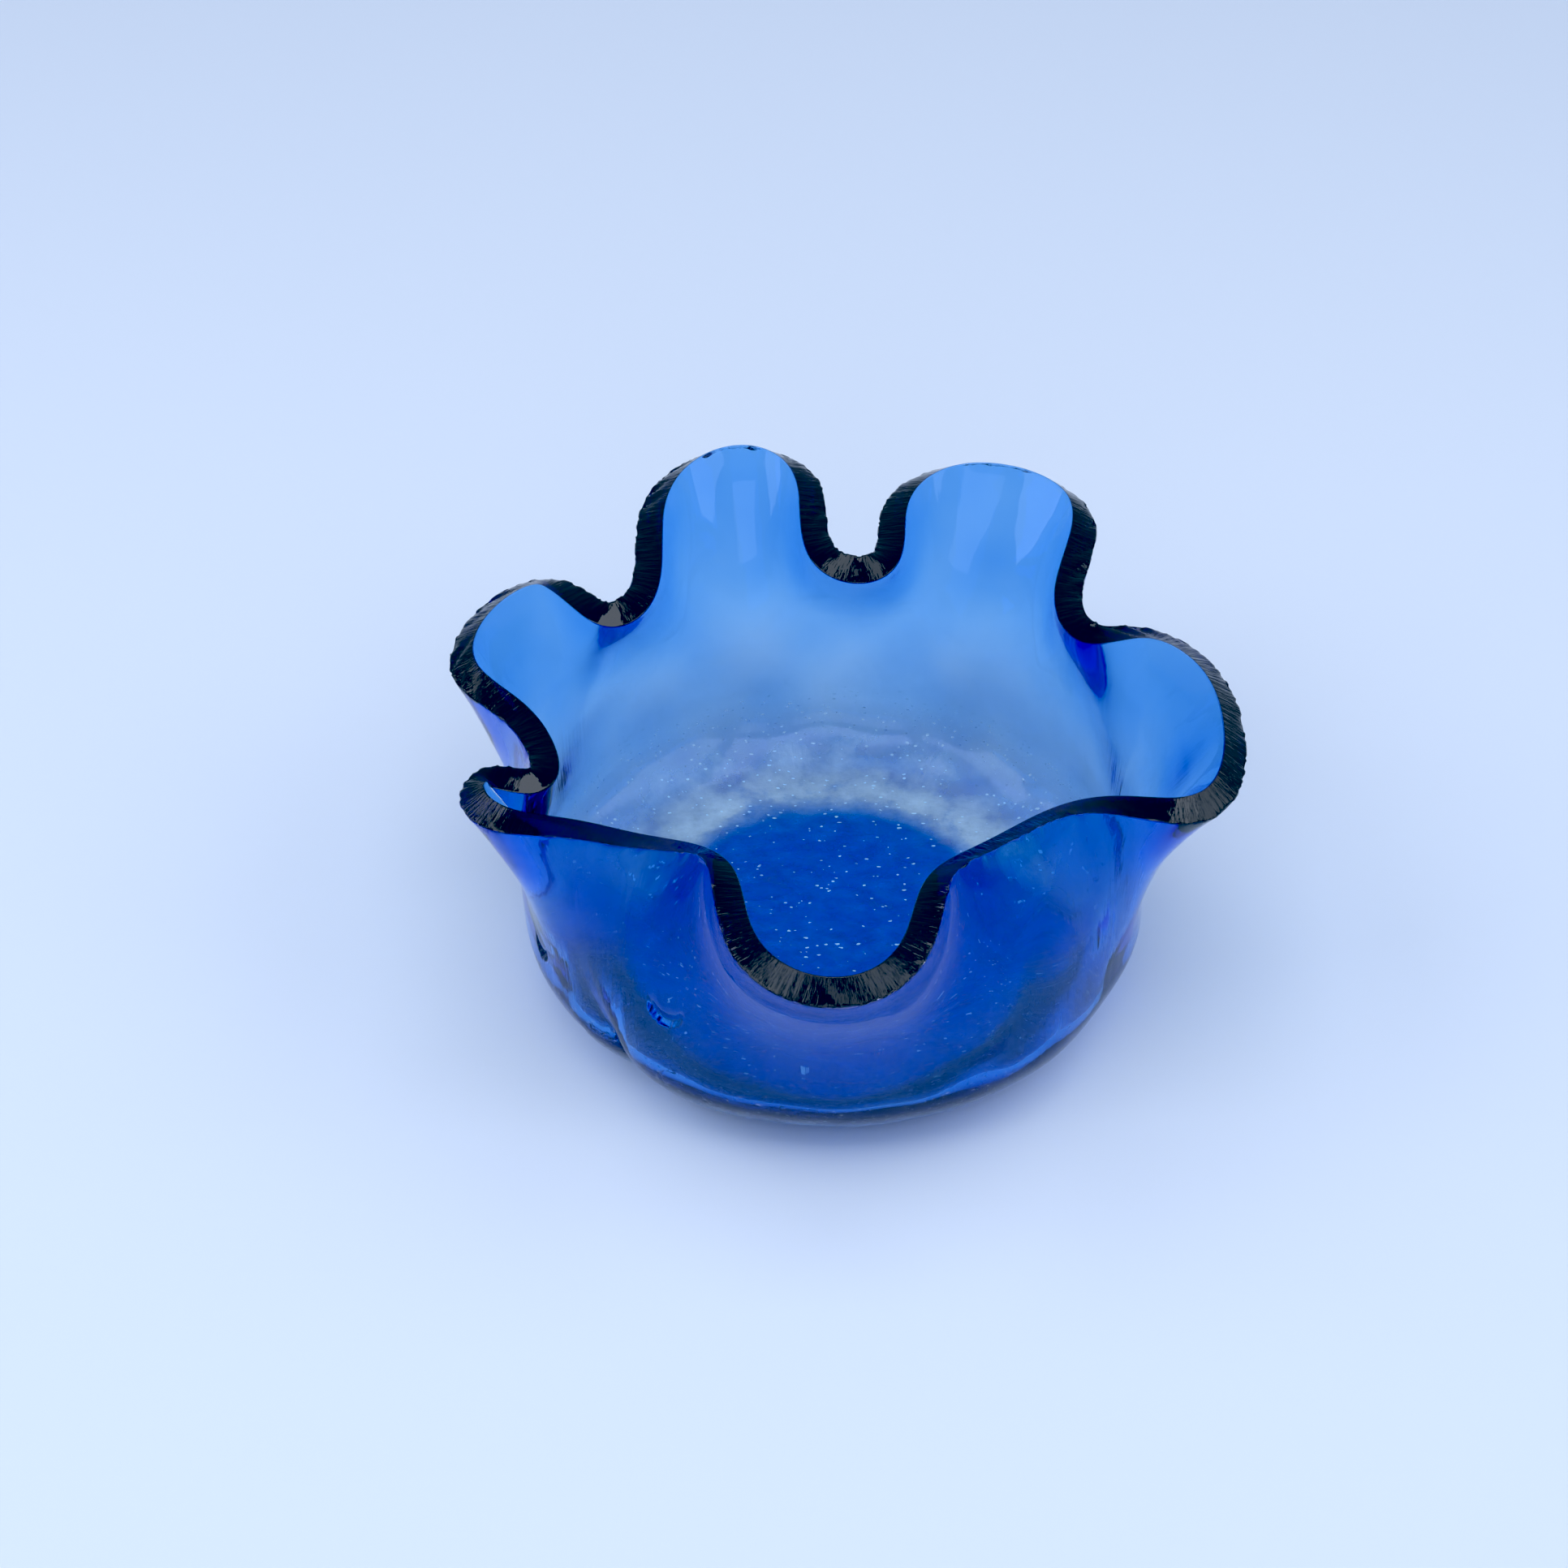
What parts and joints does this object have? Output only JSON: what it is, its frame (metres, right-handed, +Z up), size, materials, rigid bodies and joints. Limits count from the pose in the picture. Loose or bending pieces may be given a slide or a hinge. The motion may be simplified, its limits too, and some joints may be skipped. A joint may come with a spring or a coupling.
{
  "type": "art glass bowl",
  "caption": "Petal-rimmed bowl of thick cobalt-blue glass: round body, flat ground foot, wall folded into flaring petals with a flat cut rim; stands free to hold fruit, sweets or keys.",
  "frame": {"origin": "middle of the flat ground foot, on the surface the bowl stands on", "axes": "+Z up through the open mouth; -Y the front, where a single petal stands alone between two wide folds; +X to the right seen from the front"},
  "size_m": [0.1896, 0.1951, 0.0845],
  "materials": {
    "cobalt_glass": "clear, fire-polished skin with a flat cut rim and a kiln-textured underside"
  },
  "bodies": {
    "root": {"bowl": "cobalt_glass"}
  },
  "joints": []
}
